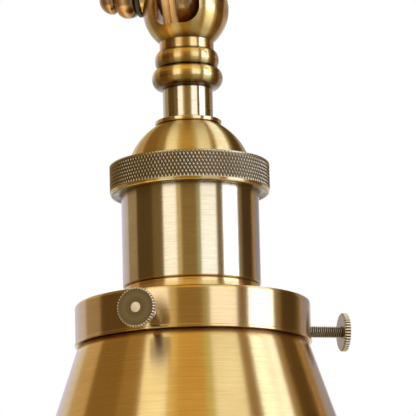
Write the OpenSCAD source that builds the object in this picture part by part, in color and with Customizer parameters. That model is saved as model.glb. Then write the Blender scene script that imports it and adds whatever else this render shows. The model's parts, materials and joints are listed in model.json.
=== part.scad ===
// Swing arm wall lamp: a canopy, two arms on ball knuckles, and a hanging head with a metal shade.
// The origin is the centre of the wall plate's back. +Z is up and +Y points into the wall.

/* [Arms] */
// Distance from the wall pivot to the elbow pivot
inner_arm_len = 230; // [150:5:320]
// Distance from the elbow pivot to the head's post
outer_arm_len = 230; // [150:5:320]
// Drop from the arm's centre line to the head pivot
head_drop = 44; // [42:1:70]
// Distance from the wall to the wall pivot
wall_pivot_gap = 60; // [54:1:80]
// Outer diameter of the arm and stem tubes
tube_d = 13.4; // [12.8:0.1:14]
// Thread diameter of the hollow nipples that join tubes and castings
nipple_d = 10; // [9:0.1:10.6]
// Bore of the nipples, which carries the cable
nipple_bore = 6.4; // [5.4:0.1:7]

/* [Knuckles] */
// Diameter of the ball of a yoke
ball_d = 23.2; // [22.8:0.2:25]
// Distance from the ball's centre to the pivot
pivot_offset = 4.7; // [3:0.1:5]
// Width of the slot in the ball
slot_w = 12.2; // [10.8:0.1:12.4]
// Depth of the slot below the pivot
slot_depth = 10.5; // [10.3:0.1:11]
// Radius of the slot's lower corner next to the cable
slot_corner_r = 2.4; // [0.5:0.1:3]
// Radius of the slot's other lower corner
slot_far_corner_r = 4.6; // [0.5:0.1:4.6]
// Radius of the tongue's disc
tongue_r = 9.5; // [7:0.1:9.8]
// Thickness of each friction washer
friction_washer_t = 0.5; // [0.3:0.05:0.8]
// Diameter of the friction washers
friction_washer_d = 11.4; // [8:0.2:11.6]
// Diameter of the pivot stud
stud_d = 4; // [3:0.1:5]
// Distance from the pivot to the stem's neck
neck_start = 13.5; // [13:0.1:15]
// Length of the stem's neck
neck_len = 2.85; // [2:0.05:6]
// Diameter of the stem's neck
neck_d = 14.6; // [13.8:0.1:15]
// Diameter of the stem's bead next to the neck
bead_a_d = 17.2; // [15.6:0.1:18]
// Diameter of the stem's bead next to the tube
bead_b_d = 19.1; // [17:0.1:20]
// Length of the bead next to the neck
bead_a_len = 4.9; // [4:0.1:6]
// Length of the bead next to the tube
bead_b_len = 5.55; // [4:0.05:7]

/* [Clamp knobs] */
// Distance from the pivot to the face that the knob's washer lies on
boss_reach = 11.8; // [11.4:0.1:14]
// Diameter of that face
boss_d = 9.6; // [8:0.1:11]
// Thickness of the black washer
knob_washer_t = 2.2; // [1:0.1:4]
// Diameter of the black washer
knob_washer_d = 11; // [8:0.1:14]
// Diameter of the knob's wide bead
knob_d = 11.2; // [9:0.1:14]
// Length of the knob's wide bead
knob_len = 4.55; // [3.5:0.05:7]
// Diameter of the knob's end bead
knob_end_d = 8.2; // [7:0.1:11]
// Length of the knob's end bead
knob_end_len = 5.25; // [4:0.05:8]

/* [Lamp holder] */
// Length of the tube between the knuckle's stem and the cap
stem_tube_len = 8.6; // [4:0.1:30]
// Thickness of the collar on the cap
collar_t = 1.1; // [0.5:0.1:2]
// Diameter of the collar on the cap
collar_d = 17.8; // [15:0.1:20]
// Diameter of the domed cap
cap_d = 33.8; // [32:0.1:35]
// Wall of the domed cap
cap_wall = 1.2; // [0.8:0.1:1.5]
// Height of the dome over its widest level
cap_rise = 14.8; // [14.5:0.1:15.5]
// Diameter of the knurled ring
ring_d = 42.8; // [41:0.1:48]
// Height of the knurled band
knurl_h = 7.4; // [4:0.1:9]
// Height of the smooth lower edge of the ring
ring_edge_h = 0.9; // [0.6:0.1:1.8]
// Distance from the dome's widest level up to the ring's top
ring_over = 4; // [2:0.1:4.4]
// Diameter of the socket shell
shell_d = 36.8; // [36.4:0.1:38]
// Wall of the socket shell
shell_wall = 0.8; // [0.6:0.1:1]
// Length of the shell that shows between its top and the fitter
shell_len = 26.2; // [20:0.1:45]
// Inner diameter of the screw shell
screw_shell_d = 26.7; // [26.6:0.1:27]

/* [Shade and fitter] */
// Diameter of the shade fitter
fitter_d = 62.6; // [58:0.2:80]
// Height of the fitter's cylinder
fitter_h = 11.1; // [10.6:0.1:16]
// Wall of the fitter
fitter_wall = 1.6; // [1.2:0.1:2.2]
// Radius of the cove between shell and fitter
cove_r = 4.4; // [2:0.1:7]
// Height of the shade under the fitter
shade_h = 130; // [90:5:180]
// Spread of the shade's radius for each unit of height, at its top
shade_slope = 0.34; // [0.2:0.01:0.6]
// Wall of the shade
shade_wall = 1; // [0.8:0.1:1.5]
// Diameter of the rolled rim
rim_d = 3.4; // [3:0.1:6]
// Diameter of the thumb screws' thread
thumb_d = 2.9; // [2.4:0.1:3.4]
// Diameter of the thumb screws' heads
thumb_head_d = 10; // [7:0.1:12]
// Thickness of the thumb screws' heads
thumb_head_t = 1.7; // [1.2:0.1:3]
// Distance from the head's axis to the middle of a thumb screw's head
thumb_reach = 41.3; // [41:0.1:55]
// Number of serrations on a thumb screw's head
thumb_teeth = 36; // [24:1:48]

/* [Canopy] */
// Diameter of the canopy
canopy_d = 120; // [116:1:150]
// Wall of the canopy
canopy_wall = 1.6; // [1:0.1:1.8]
// Depth of the canopy's rim
rim_depth = 9; // [8:0.5:14]
// Radius of the canopy's cove
canopy_cove_r = 8; // [5:0.5:8]
// Depth of the canopy's middle boss
hub_depth = 5; // [4:0.5:6]
// Thickness of the wall plate
plate_t = 2.5; // [1.5:0.1:3.5]
// Distance between the two slots for wall screws
slot_spacing = 79.4; // [70:0.1:86]
// Length of each slot
screw_slot_len = 14; // [8:0.5:18]
// Width of each slot
screw_slot_w = 4.4; // [3.5:0.1:6]
// Distance from the centre to each canopy stud
canopy_stud_reach = 50.5; // [49:0.1:52]

/* [Cable and bulb] */
// Diameter of the cable
cable_d = 4.4; // [3.6:0.1:4.4]
// Diameter of a single wire
wire_d = 2.2; // [1.6:0.1:2.6]
// Diameter of the bulb's glass
bulb_d = 60; // [45:1:66]
// Distance from the socket's mouth to the bulb's widest level
bulb_drop = 49; // [40:1:60]

/* [Hidden] */

$fn = 96;
BRASS = [0.72, 0.58, 0.33];
BRONZE = [0.34, 0.28, 0.2];
STEEL = [0.7, 0.7, 0.68];
BLACK = [0.05, 0.05, 0.05];
CERAMIC = [0.9, 0.88, 0.82];
GLASS = [0.95, 0.95, 0.9, 0.4];
GREEN = [0.2, 0.45, 0.25];

eps = 0.05; // overlap that makes cuts pass through a face
thread_fit = 0.05; // radial clearance of a thread or a running fit
slip_fit = 0.1; // radial clearance of a loose bore
face_gap = 0.05; // gap between faces that turn on each other

tube_r = tube_d / 2;
nipple_r = nipple_d / 2;
ball_r = ball_d / 2;
neck_r = neck_d / 2;
stud_r = stud_d / 2;
cable_r = cable_d / 2;
bead_a_mid = neck_start + neck_len + bead_a_len / 2;
bead_b_mid = bead_a_mid + bead_a_len / 2 + bead_b_len / 2 - 0.25;
stem_end = bead_b_mid + bead_b_len / 2 + 0.35;
nipple_seat = neck_start + 6; // where a nipple starts in a stem, from the pivot
nipple_in_tube = 12; // how far a nipple reaches into an arm's tube
tongue_w = slot_w - 2 * (friction_washer_t + face_gap);
tongue_edge_r = slot_far_corner_r - 0.4; // keeps the disc's edge clear of the slot's corner
end_collar = 14; // distance from the arm end ball's centre to the end of its collar

// The cable lies in a ring-shaped groove in the tongue, round the pivot
groove_w = cable_d + 2 * slip_fit;
cable_x = -tongue_w / 2 + groove_w / 2 - slip_fit;
hub_r = 3.8; // radius of the tongue's hub inside the groove
cable_bend_r = hub_r + slip_fit + cable_r;
groove_r = neck_start - 0.7;
cable_dive = [cable_x, -1.5, -slot_depth]; // where the cable enters the yoke

// Knob levels, from the pivot
knob_washer_at = boss_reach + face_gap;
knob_at = knob_washer_at + knob_washer_t + face_gap;
knob_end_at = knob_at + knob_len;
stud_reach = knob_at + 5.5;
stud_back = sqrt(pow(ball_r, 2) - pow(pivot_offset, 2)) - 0.6;

// Places in the row's frame
wall_pivot = [0, -wall_pivot_gap, 0];
elbow_pivot = [0, -wall_pivot_gap - inner_arm_len, 0];
arm_end = elbow_pivot - [outer_arm_len, 0, 0];
head_pivot = arm_end - [0, 0, head_drop];

// Levels of the lamp holder, measured down from the head pivot
stem_tube_end = stem_end + stem_tube_len;
cap_top = stem_tube_end + collar_t;
cap_mid = cap_top + cap_rise;
cap_flange_at = cap_mid + 1.4;
shell_top = cap_flange_at + 1.6;
ring_top = cap_mid - ring_over;
ring_step = cap_flange_at - slip_fit;
knurl_end = ring_top + knurl_h;
ring_end = knurl_end + ring_edge_h;
shell_end = shell_top + shell_len;
cove_top = shell_end + 0.1;
fitter_top = cove_top + cove_r;
plate_under = fitter_top + 1.5;
fitter_end = fitter_top + fitter_h;
shade_top = fitter_end + 0.4;
shade_end = shade_top + shade_h;
thumb_level = fitter_end - 4;
insulator_top = shell_top + 3;
bulb_seat = insulator_top + 5;
bulb_mouth = plate_under + 2.4;
bulb_mid = bulb_mouth + bulb_drop;

cap_r = cap_d / 2;
ring_r = ring_d / 2;
ring_corner = 0.25; // bevel of the ring's upper edge
shell_r = shell_d / 2;
spigot_r = shell_r - 1;
insulator_r = spigot_r - shell_wall - 0.2;
screw_shell_r = screw_shell_d / 2;
screw_shell_wall = 0.45;
fitter_r = fitter_d / 2;
fitter_in_r = fitter_r - fitter_wall;
shade_neck_r = fitter_in_r - 1.3;
shade_top_r = fitter_r - 0.6;
shade_bow = -0.00006; // how fast the shade's slope eases off, below zero where it grows
thumb_tip = shade_neck_r + face_gap;
thumb_angles = [24, 144, -96];
terminal_y = 9;

canopy_r = canopy_d / 2;
canopy_step_r = canopy_r - 16;
canopy_face_r = canopy_step_r - canopy_cove_r;
canopy_face_y = rim_depth + canopy_cove_r + 2;
canopy_depth = canopy_face_y + hub_depth;
hub_boss_r = 14;
plate_r = canopy_r - canopy_wall - 1.9;
connector_x = 17; // place of the wire connectors' open ends
connector_y = -9;
connector_z = 12;
cap_nut_r = stud_d + 0.6;
cap_nut_dome_r = stud_d - 0.1;
ground_screw_y = canopy_r / 2 - 2;

// Points of a half bead: from its start to its end along the stem, r0 at the ends and r1 in the middle
function bead(mid, len, r0, r1, n = 12) =
    [for (i = [0:n]) let (a = 180 * i / n) [r0 + (r1 - r0) * sin(a), mid - len / 2 * cos(a)]];
// Points of an arc round c with radius r, from angle a0 to a1
function arc(c, r, a0, a1, n = 8) =
    [for (i = [0:n]) let (a = a0 + (a1 - a0) * i / n) c + r * [cos(a), sin(a)]];
function unit(v) = v / norm(v);
function tangent(p, i) = unit(p[min(i + 1, len(p) - 1)] - p[max(i - 1, 0)]);
function square_to(u, t) = unit(u - (u * t) * t);

// Profile of the stem from the pivot side to the tube side
function stem_profile(from) = concat([[0, from], [neck_r, from]],
    bead(bead_a_mid, bead_a_len, neck_r, bead_a_d / 2),
    bead(bead_b_mid, bead_b_len, neck_r + 0.15, bead_b_d / 2),
    [[tube_r, stem_end - 0.1], [tube_r, stem_end], [0, stem_end]]);

// Route of a yoke's cable: over the tongue's hub, then down the middle of the stem
cable_arc = [for (a = [170:-11:60]) [cable_x, -cable_bend_r * sin(a), -cable_bend_r * cos(a)]];
cable_stem = [cable_dive, [cable_x * 0.56, -0.84, -slot_depth - 3.6], [0, 0, -nipple_seat],
    [0, 0, -stem_end]];
cable_leave = [0, 0, nipple_seat + 1.4];
cable_end = [cable_x, 0, groove_r + 0.15];
// A knuckle on an upright axis: its +X becomes up and its +Z becomes +Y, or +X where it is bent
function upright(p) = [p.y, p.z, p.x];
function bent(p) = [p.z, -p.y, p.x];

module turn_upright() rotate(240, [1, 1, 1]) children();
module at_wall() translate(wall_pivot) turn_upright() children();
module at_elbow_parent() translate(elbow_pivot) turn_upright() children();
module at_elbow_child() translate(elbow_pivot) rotate([0, 0, -90]) turn_upright() children();
module at_head() translate(head_pivot) children();
module along_x(from, to, r) translate([from, 0, 0]) rotate([0, 90, 0]) cylinder(h = to - from, r = r);
module up_z(from, to, r) translate([0, 0, from]) cylinder(h = to - from, r = r);
module down_z(from, to, r) translate([0, 0, -to]) cylinder(h = to - from, r = r);
// A profile given as radius and distance below the pivot
module turned_down(points) mirror([0, 0, 1]) rotate_extrude() polygon(points);
module hex_nut(flats, h, bore) difference() {
    cylinder(h = h, d = flats / cos(30), $fn = 6);
    translate([0, 0, -eps]) cylinder(h = h + 2 * eps, r = bore);
}

// A round bar swept along points, with its rings kept from twisting
module swept(points, r, first_u, sides = 8) {
    n = len(points);
    us = [for (i = 0, u = square_to(first_u, tangent(points, 0)); i < n;
        i = i + 1, u = i < n ? square_to(u, tangent(points, i)) : u) u];
    rings = [for (i = [0:n - 1]) let (t = tangent(points, i), v = cross(t, us[i]))
        for (k = [0:sides - 1]) points[i] + r * (cos(360 * k / sides) * us[i] + sin(360 * k / sides) * v)];
    walls = [for (i = [0:n - 2], k = [0:sides - 1])
        let (a = i * sides + k, b = i * sides + (k + 1) % sides)
        for (f = [[a, b + sides, b], [a, a + sides, b + sides]]) f];
    ends = [for (k = [1:sides - 2]) each [[0, k, k + 1],
        [(n - 1) * sides, (n - 1) * sides + k + 1, (n - 1) * sides + k]]];
    polyhedron(points = rings, faces = concat(walls, ends), convexity = 6);
}

// Knuckle pieces, with the origin at the pivot and the pivot along X
module slot_outline() {
    half = slot_w / 2;
    near = slot_corner_r;
    far = slot_far_corner_r;
    polygon(concat([[half, ball_d], [-half, ball_d]], arc([near - half, near - slot_depth], near, 180, 270),
        arc([half - far, far - slot_depth], far, 270, 360)));
}
// A slanted bore from one point to another
module slanted_bore(from, to, r) {
    run = to - from;
    translate(from) rotate([0, acos(run.z / norm(run)), atan2(run.y, run.x)])
        translate([0, 0, -1]) cylinder(h = norm(run) + 2, r = r);
}
module yoke() difference() {
    union() {
        translate([0, 0, -pivot_offset]) sphere(r = ball_r);
        along_x(-boss_reach, -slot_w / 2, boss_d / 2);
        turned_down(stem_profile(neck_start - 3));
    }
    rotate([90, 0, 0]) linear_extrude(height = 2 * ball_d, center = true) slot_outline();
    along_x(-ball_d, 0, stud_r + slip_fit);
    along_x(-eps, ball_d, stud_r + thread_fit);
    down_z(nipple_seat, stem_end + 1, nipple_r + thread_fit);
    slanted_bore(cable_dive + [0, 0, 0.6], [0, 0, -nipple_seat], cable_r + 0.3);
}
module tongue() difference() {
    union() {
        rotate([0, 90, 0]) rotate_extrude() polygon(concat(
            [[0, -tongue_w / 2], [tongue_r, -tongue_w / 2]],
            arc([tongue_r - tongue_edge_r, tongue_w / 2 - tongue_edge_r], tongue_edge_r, 0, 90),
            [[0, tongue_w / 2]]));
        intersection() {
            cylinder(h = neck_start + eps, r = neck_r);
            translate([-tongue_w / 2, -neck_d, -eps]) cube([tongue_w, 2 * neck_d, neck_start + 3 * eps]);
        }
        rotate_extrude() polygon(stem_profile(neck_start));
    }
    along_x(-slot_w, slot_w, stud_r + thread_fit);
    difference() {
        along_x(-slot_w, -tongue_w / 2 + groove_w, groove_r);
        along_x(-slot_w - 1, slot_w, hub_r);
    }
    up_z(nipple_seat, stem_end + 1, nipple_r + thread_fit);
    slanted_bore(cable_end, cable_leave, cable_r + 0.2);
}
module friction_washers() for (side = [0, 1]) mirror([side, 0, 0]) difference() {
    along_x(slot_w / 2 - friction_washer_t, slot_w / 2, friction_washer_d / 2);
    along_x(0, slot_w, stud_r + slip_fit);
}
module pivot_stud() difference() {
    along_x(-stud_reach, stud_back, stud_r);
    translate([stud_back - 0.8, -stud_d, -0.4]) cube([1, 2 * stud_d, 0.8]);
}
module knob_washer() difference() {
    along_x(-knob_washer_at - knob_washer_t, -knob_washer_at, knob_washer_d / 2);
    along_x(-stud_reach, 0, stud_r + slip_fit);
}
module knob() rotate([0, -90, 0]) difference() {
    rotate_extrude() polygon(concat([[0, knob_at]],
        bead(knob_at + knob_len / 2, knob_len, knob_d / 2 - 1.6, knob_d / 2),
        [for (a = [-35:12.5:90]) [knob_end_d / 2 * cos(a),
            knob_end_at + knob_end_len * (0.32 + 0.68 * (a < 0 ? a / 90 : sin(a)))]]));
    translate([0, 0, knob_at - eps]) cylinder(h = stud_reach - knob_at + 0.3, r = stud_r + thread_fit);
}
module nipple(from, to) difference() {
    translate([0, 0, -to]) cylinder(h = to - from, r = nipple_r);
    translate([0, 0, -to - eps]) cylinder(h = to - from + 2 * eps, d = nipple_bore);
}
module tube(from, to) difference() {
    down_z(from, to, tube_r);
    down_z(from - eps, to + eps, nipple_r + thread_fit);
}

// Wall side
module mounting_plate() color(STEEL) rotate([90, 0, 0]) difference() {
    cylinder(h = plate_t, r = plate_r);
    translate([0, 0, -eps]) cylinder(h = plate_t + 2 * eps, r = 12);
    for (side = [-1, 1]) {
        translate([side * slot_spacing / 2, 0, -eps]) linear_extrude(height = plate_t + 2 * eps) {
            square([screw_slot_len - screw_slot_w, screw_slot_w], center = true);
            for (end = [-1, 1]) translate([end * (screw_slot_len - screw_slot_w) / 2, 0])
                circle(d = screw_slot_w);
        }
        translate([0, side * canopy_stud_reach, -eps])
            cylinder(h = plate_t + 2 * eps, r = stud_r + thread_fit);
    }
    translate([0, -ground_screw_y, -eps]) cylinder(h = plate_t + 2 * eps, r = 1.5 + thread_fit);
}
// Profile of the canopy as radius and depth, drawn in by w from its outer face
function canopy_profile(w) = concat([[canopy_r - w, 0]],
    arc([canopy_r - 3, rim_depth - 3], 3 - w, 0, 90),
    arc([canopy_step_r, rim_depth + canopy_cove_r], canopy_cove_r + w, -90, -180),
    arc([canopy_face_r - 2, canopy_face_y - 2], 2 - w, 0, 90),
    [[hub_boss_r - w, canopy_face_y - w]],
    arc([hub_boss_r - 2, canopy_depth - 2], 2 - w, 0, 90),
    [[nipple_r + thread_fit, canopy_depth - w]]);
module canopy() color(BRASS) rotate([90, 0, 0]) difference() {
    inner = canopy_profile(canopy_wall);
    rotate_extrude($fn = 144)
        polygon(concat(canopy_profile(0), [for (i = [len(inner) - 1:-1:0]) inner[i]]));
    for (side = [-1, 1]) translate([0, side * canopy_stud_reach, 0])
        cylinder(h = canopy_depth, r = stud_r + slip_fit);
}
module canopy_studs() color(STEEL) rotate([90, 0, 0]) for (side = [-1, 1])
    translate([0, side * canopy_stud_reach, 0]) cylinder(h = rim_depth + 4, r = stud_r);
module cap_nuts() color(BRASS) rotate([90, 0, 0]) for (side = [-1, 1])
    translate([0, side * canopy_stud_reach, rim_depth + 0.02]) difference() {
        rotate_extrude() polygon(concat([[0, 0], [cap_nut_r, 0], [cap_nut_r, 0.8], [cap_nut_dome_r, 1.2]],
            arc([0, cap_nut_dome_r - 0.3], cap_nut_dome_r, 0, 90)));
        translate([0, 0, -eps]) cylinder(h = stud_d + 0.4, r = stud_r + thread_fit);
    }
module ground_screw() color(GREEN) translate([0, 0, -ground_screw_y]) rotate([90, 0, 0]) difference() {
    union() {
        cylinder(h = plate_t, r = 1.5);
        translate([0, 0, plate_t]) cylinder(h = 2, r = 3.2);
    }
    translate([-4, -0.4, plate_t + 1.2]) cube([8, 0.8, 1]);
}
module hub_nipple() color(STEEL)
    at_wall() rotate([180, 0, 0]) nipple(nipple_seat + 0.1, wall_pivot_gap - canopy_depth + 9);
module hub_lock_nut() color(STEEL) translate([0, -canopy_depth + canopy_wall + 0.02 + 3.2, 0])
    rotate([90, 0, 0]) hex_nut(14, 3.2, nipple_r + thread_fit);
module hub_tube() color(BRASS) at_wall() mirror([0, 0, 1]) tube(stem_end, wall_pivot_gap - canopy_depth);
module wall_tongue() color(BRASS) at_wall() tongue();
module supply_cable() color(BLACK) {
    inside = wall_pivot_gap - canopy_depth + 11;
    joint_y = wall_pivot_gap + connector_y;
    swept([for (p = [cable_end, cable_leave, [0, 0, stem_end], [0, 0, inside]])
        wall_pivot + upright(p)], cable_r, [0, 0, 1]);
    for (side = [-1, 1]) swept([for (p = [[0, inside + 0.1, side * 1.15], [-4, inside + 3, side * 3],
        [-10, joint_y, side * 10], [-14, joint_y, side * connector_z],
        [-connector_x - 1, joint_y, side * connector_z]])
        [p.x, wall_pivot.y + p.y, p.z]], wire_d / 2, [1, 0, 0.1]);
}
module wire_connectors() color([0.75, 0.35, 0.12]) for (side = [-1, 1])
    translate([-connector_x, connector_y, side * connector_z]) rotate([0, -90, 0])
        difference() {
            cylinder(h = 13, r1 = 4.6, r2 = 2.6, $fn = 48);
            translate([0, 0, -eps]) cylinder(h = 1.2, r = wire_d / 2 + slip_fit);
        }

// Arm next to the wall
module inner_yoke() color(BRASS) at_wall() yoke();
module wall_pivot_stud() color(STEEL) at_wall() pivot_stud();
module wall_friction_washers() color(BRONZE) at_wall() friction_washers();
module inner_arm_nipples() color(STEEL) at_wall() {
    nipple(nipple_seat + 0.1, stem_end + nipple_in_tube);
    nipple(inner_arm_len - stem_end - nipple_in_tube, inner_arm_len - nipple_seat - 0.1);
}
module inner_arm_tube() color(BRASS) at_wall() tube(stem_end, inner_arm_len - stem_end);
module elbow_tongue() color(BRASS) at_elbow_parent() tongue();
module inner_arm_cable() color(BLACK) swept([for (p = concat(cable_arc, cable_stem,
    [for (q = [[0, 0, stem_end], cable_leave, cable_end]) q - [0, 0, inner_arm_len]]))
    wall_pivot + upright(p)], cable_r, [0, 0, 1]);
module wall_knob() color(BRASS) at_wall() knob();
module wall_knob_washer() color(BLACK) at_wall() knob_washer();

// Arm that carries the head
module elbow_yoke() color(BRASS) at_elbow_child() yoke();
module elbow_pivot_stud() color(STEEL) at_elbow_child() pivot_stud();
module elbow_friction_washers() color(BRONZE) at_elbow_child() friction_washers();
module outer_arm_nipples() color(STEEL) {
    at_elbow_child() nipple(nipple_seat + 0.1, stem_end + nipple_in_tube);
    at_elbow_child() nipple(outer_arm_len - end_collar - nipple_in_tube, outer_arm_len - 7);
    translate(arm_end) nipple(7, head_drop - nipple_seat - 0.1);
}
module outer_arm_tube() color(BRASS) at_elbow_child() tube(stem_end, outer_arm_len - end_collar);
module arm_end_ball() color(BRASS) translate(arm_end) difference() {
    union() {
        sphere(r = ball_r);
        rotate([0, 90, 0]) rotate_extrude() polygon(concat([[0, 8], [tube_r + 1, 8]],
            bead(end_collar - 1.6, 3.2, tube_r + 0.6, bead_a_d / 2), [[0, end_collar]]));
    }
    down_z(ball_r - 2, ball_d, tube_r + thread_fit);
    down_z(-1, ball_d, nipple_r + thread_fit);
    along_x(0, ball_d, nipple_r + thread_fit);
    up_z(0, ball_d, stud_r + thread_fit);
    up_z(ball_r - 0.6, ball_d, ball_r);
}
module arm_end_finial() color(BRASS) translate(arm_end + [0, 0, ball_r - 0.58]) {
    rotate_extrude() polygon(concat([[0, 0]], bead(knob_len / 2, knob_len, knob_d / 2 - 1.6, knob_d / 2),
        [for (a = [-35:12.5:90]) [knob_end_d / 2 * cos(a),
            knob_len + knob_end_len * (0.32 + 0.68 * (a < 0 ? a / 90 : sin(a)))]]));
    translate([0, 0, -4]) cylinder(h = 4 + eps, r = stud_r);
}
module post_tube() color(BRASS) translate(arm_end) tube(ball_r - 1.9, head_drop - stem_end);
module head_tongue() color(BRASS) at_head() tongue();
module outer_arm_cable() color(BLACK) {
    bend = 5;
    swept(concat([for (p = concat(cable_arc, cable_stem)) elbow_pivot + bent(p)],
        [for (a = [0:15:90]) arm_end + bend * [1 - sin(a), 0, cos(a) - 1]],
        [for (p = [[0, 0, stem_end], cable_leave, cable_end]) head_pivot + p]),
        cable_r, [0, 0, 1]);
}
module elbow_knob() color(BRASS) at_elbow_child() knob();
module elbow_knob_washer() color(BLACK) at_elbow_child() knob_washer();

// Head
module head_yoke() color(BRASS) at_head() yoke();
module head_pivot_stud() color(STEEL) at_head() pivot_stud();
module head_friction_washers() color(BRONZE) at_head() friction_washers();
module head_knob() color(BRASS) at_head() knob();
module head_knob_washer() color(BLACK) at_head() knob_washer();
module stem_nipple() color(STEEL) at_head() nipple(nipple_seat + 0.1, cap_top + 6);
module stem_tube() color(BRASS) at_head() tube(stem_end, stem_tube_end);
module stem_collar() color(BRASS) at_head() turned_down([[nipple_r + thread_fit, stem_tube_end],
    [collar_d / 2 - 0.2, stem_tube_end], [collar_d / 2, stem_tube_end + 0.2],
    [collar_d / 2, cap_top - 0.2], [collar_d / 2 - 0.2, cap_top], [nipple_r + thread_fit, cap_top]]);
module cap_lock_nut() color(STEEL) at_head() translate([0, 0, -cap_top - 1.5 - 0.02 - 3])
    hex_nut(13, 3, nipple_r + thread_fit);
module socket_cap() color(BRASS) at_head() {
    in_r = cap_r - cap_wall;
    inner_top = acos((cap_rise - 1.5) / in_r);
    outer_top = acos(cap_rise / cap_r);
    turned_down(concat([[nipple_r + thread_fit, cap_top]],
        [for (i = [0:16]) let (a = outer_top + (90 - outer_top) * i / 16)
            [cap_r * sin(a), cap_mid - cap_r * cos(a)]],
        [[cap_r, cap_flange_at], [shell_r - 0.3, cap_flange_at], [shell_r - 0.3, shell_top - 0.1],
        [in_r, shell_top - 0.1]],
        [for (i = [16:-1:0]) let (a = inner_top + (90 - inner_top) * i / 16)
            [in_r * sin(a), cap_mid - in_r * cos(a)]],
        [[nipple_r + thread_fit, cap_top + 1.5]]));
}
module knurled_ring() color(BRONZE) at_head() turned_down(concat(
    [[cap_r + slip_fit, ring_top], [ring_r - ring_corner, ring_top], [ring_r, ring_top + ring_corner],
        [ring_r, knurl_end]],
    arc([ring_r - ring_edge_h, knurl_end], ring_edge_h, 15, 90, 5),
    [[shell_r + slip_fit, ring_end], [shell_r + slip_fit, ring_step], [cap_r + slip_fit, ring_step]]));
module socket_shell() color(BRASS) at_head() turned_down(concat([[shell_r, shell_top]],
    arc([shell_r - 0.5, shell_end - 0.5], 0.5, 0, 90, 4),
    [[spigot_r, shell_end], [spigot_r, plate_under], [spigot_r - shell_wall - 1.2, plate_under],
    [spigot_r - shell_wall - 1.2, plate_under - 0.8], [spigot_r - shell_wall, plate_under - 0.8],
    [spigot_r - shell_wall, shell_end - 1.2], [shell_r - shell_wall, shell_end - 2.2],
    [shell_r - shell_wall, shell_top]]));
module socket_insulator() color(CERAMIC) at_head() difference() {
    down_z(insulator_top, plate_under - 0.85, insulator_r);
    down_z(bulb_seat, plate_under, screw_shell_r + screw_shell_wall + thread_fit);
    for (side = [-1, 1]) translate([0, side * terminal_y, 0])
        down_z(insulator_top - 1, insulator_top + 3.4, 1.5 + thread_fit);
}
module screw_shell() color(BRASS) at_head() difference() {
    down_z(bulb_seat + 0.02, plate_under - 1.6, screw_shell_r + screw_shell_wall);
    down_z(bulb_seat - 1, plate_under, screw_shell_r);
}
module center_contact() color(BRASS) at_head() turned_down([[0, bulb_seat + 0.02], [4.5, bulb_seat + 0.02],
    [4.5, bulb_seat + 0.6], [2.6, bulb_seat + 1.4], [0, bulb_seat + 1.4]]);
module terminal_screws() color(BRASS) at_head() for (side = [-1, 1]) translate([0, side * terminal_y, 0])
    difference() {
        union() {
            down_z(insulator_top - 0.02, insulator_top + 3.3, 1.5);
            down_z(insulator_top - 1.8, insulator_top - 0.02, 2.7);
        }
        translate([-3, -0.35, -insulator_top + 1.2]) cube([6, 0.7, 1]);
    }
module thumb_hole(angle) rotate([0, 0, angle]) translate([0, 0, -thumb_level])
    along_x(shade_neck_r, fitter_r + 2, thumb_d / 2 + thread_fit);
module shade_fitter() color(BRASS) at_head() difference() {
    lip = 0.4;
    turned_down(concat([[spigot_r + thread_fit, cove_top]],
        [for (a = [0:10:90]) [spigot_r + 0.6 + cove_r * (1 - cos(a)), cove_top + cove_r * sin(a)]],
        arc([fitter_r - 1, fitter_top + 1], 1, -90, 0),
        [[fitter_r, fitter_end - 1.1], [fitter_r + lip, fitter_end - 0.8],
        [fitter_r + lip, fitter_end - 0.2], [fitter_r + lip - 0.2, fitter_end], [fitter_in_r, fitter_end],
        [fitter_in_r, plate_under], [spigot_r + thread_fit, plate_under]]));
    for (angle = thumb_angles) thumb_hole(angle);
}
// Radius of the shade's outer face at a distance below its visible top
function shade_radius(drop) = shade_top_r + shade_slope * drop - shade_bow * drop * drop;
module shade() color(BRASS) at_head() {
    lip_top = plate_under + 0.6;
    rows = 24;
    outer = concat([[shade_neck_r, lip_top], [shade_neck_r + 0.8, lip_top],
        [shade_neck_r + 0.8, lip_top + 1], [shade_neck_r, lip_top + 1.6],
        [shade_neck_r, fitter_end + face_gap]],
        [for (i = [0:rows]) let (drop = shade_h * i / rows) [shade_radius(drop), shade_top + drop]]);
    inner = concat([[shade_neck_r - shade_wall, lip_top], [shade_neck_r - shade_wall, shade_top + 0.7]],
        [for (i = [0:rows]) let (drop = shade_h * i / rows)
            [shade_radius(drop) - shade_wall, shade_top + drop + 0.9 * (1 - i / rows)]]);
    turned_down(concat(outer, [for (i = [len(inner) - 1:-1:0]) inner[i]]));
    turned_down(arc([shade_radius(shade_h) - shade_wall / 2, shade_end], rim_d / 2, 0, 345, 23));
}
module thumb_screw(angle) color(BRONZE) at_head() rotate([0, 0, angle]) translate([0, 0, -thumb_level]) {
    head_at = thumb_reach - thumb_head_t / 2;
    along_x(thumb_tip, head_at + eps, thumb_d / 2);
    along_x(head_at - 2.2, head_at + eps, thumb_d / 2 + 0.4);
    translate([head_at, 0, 0]) rotate([0, 90, 0]) linear_extrude(height = thumb_head_t)
        polygon([for (i = [0:2 * thumb_teeth - 1]) let (a = 180 * i / thumb_teeth)
            (thumb_head_d / 2 - 0.3 * (i % 2)) * [cos(a), sin(a)]]);
}
module bulb_cap() color(STEEL) at_head() {
    wall = 0.8;
    cap_r = screw_shell_r - 0.2;
    outer = [[0, bulb_seat + 1.45], [4.4, bulb_seat + 1.45], [4.8, bulb_seat + 2.4],
        [cap_r - 1.8, bulb_seat + 5], [cap_r, bulb_seat + 6.5], [cap_r, bulb_mouth]];
    turned_down(concat(outer, [[cap_r - wall, bulb_mouth], [cap_r - wall, bulb_seat + 7],
        [cap_r - 2.4, bulb_seat + 6], [0, bulb_seat + 3]]));
}
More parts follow.
